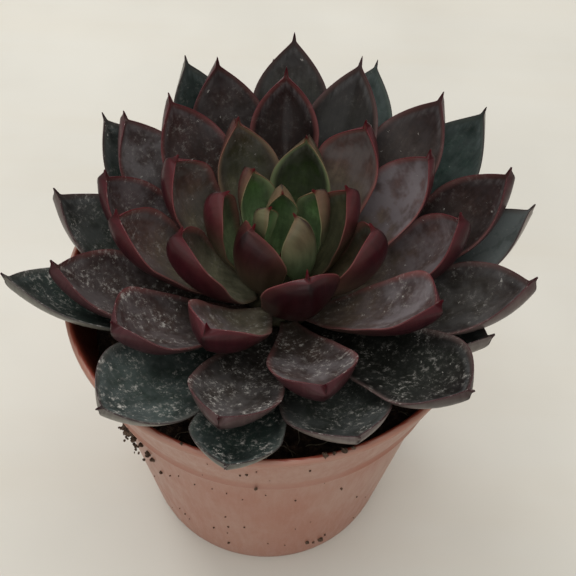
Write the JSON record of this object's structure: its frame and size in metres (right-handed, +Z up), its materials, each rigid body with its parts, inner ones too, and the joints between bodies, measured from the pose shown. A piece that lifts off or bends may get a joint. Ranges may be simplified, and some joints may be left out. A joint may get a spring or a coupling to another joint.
{
  "type": "potted_echeveria",
  "caption": "Echeveria rosette with thick dark pointed leaves and a green heart, growing in a terracotta-coloured plastic nursery pot",
  "frame": {"origin": "centre of the pot's flat base, on the plane it stands on", "axes": "+Z is up along the pot's axis, +X is to the right and -Y towards the viewer of the picture"},
  "size_m": [0.1254, 0.1233, 0.1241],
  "materials": {
    "pot_plastic": "satin terracotta-coloured plastic, faintly dusty",
    "potting_mix": "damp, dark, crumbly potting mix, rough",
    "stem_skin": "dull green-brown skin",
    "leaf_young": "waxy green leaf with pale green to red margins",
    "leaf_middle": "waxy brown-purple leaf with rose-red margins",
    "leaf_old": "waxy dark grey-green leaf with pale margins and water spots"
  },
  "bodies": {
    "root": {"pot": "pot_plastic", "soil": "potting_mix", "stem": "stem_skin", "bud": "leaf_young", "leaf_01": "leaf_young", "leaf_02": "leaf_young", "leaf_03": "leaf_young", "leaf_04": "leaf_young", "leaf_05": "leaf_young", "leaf_06": "leaf_young", "leaf_07": "leaf_young", "leaf_08": "leaf_young", "leaf_09": "leaf_young", "leaf_10": "leaf_young", "leaf_11": "leaf_young", "leaf_12": "leaf_middle", "leaf_13": "leaf_middle", "leaf_14": "leaf_middle", "leaf_15": "leaf_middle", "leaf_16": "leaf_middle", "leaf_17": "leaf_middle", "leaf_18": "leaf_middle", "leaf_19": "leaf_middle", "leaf_20": "leaf_middle", "leaf_21": "leaf_middle", "leaf_22": "leaf_middle", "leaf_23": "leaf_middle", "leaf_24": "leaf_middle", "leaf_25": "leaf_middle", "leaf_26": "leaf_middle", "leaf_27": "leaf_middle", "leaf_28": "leaf_middle", "leaf_29": "leaf_middle", "leaf_30": "leaf_middle", "leaf_31": "leaf_old", "leaf_32": "leaf_old", "leaf_33": "leaf_old", "leaf_34": "leaf_old", "leaf_35": "leaf_old", "leaf_36": "leaf_old", "leaf_37": "leaf_old", "leaf_38": "leaf_old", "leaf_39": "leaf_old", "leaf_40": "leaf_old", "leaf_41": "leaf_old", "leaf_42": "leaf_old", "leaf_43": "leaf_old", "leaf_44": "leaf_old", "leaf_45": "leaf_old", "leaf_46": "leaf_old", "leaf_47": "leaf_old"}
  },
  "joints": []
}
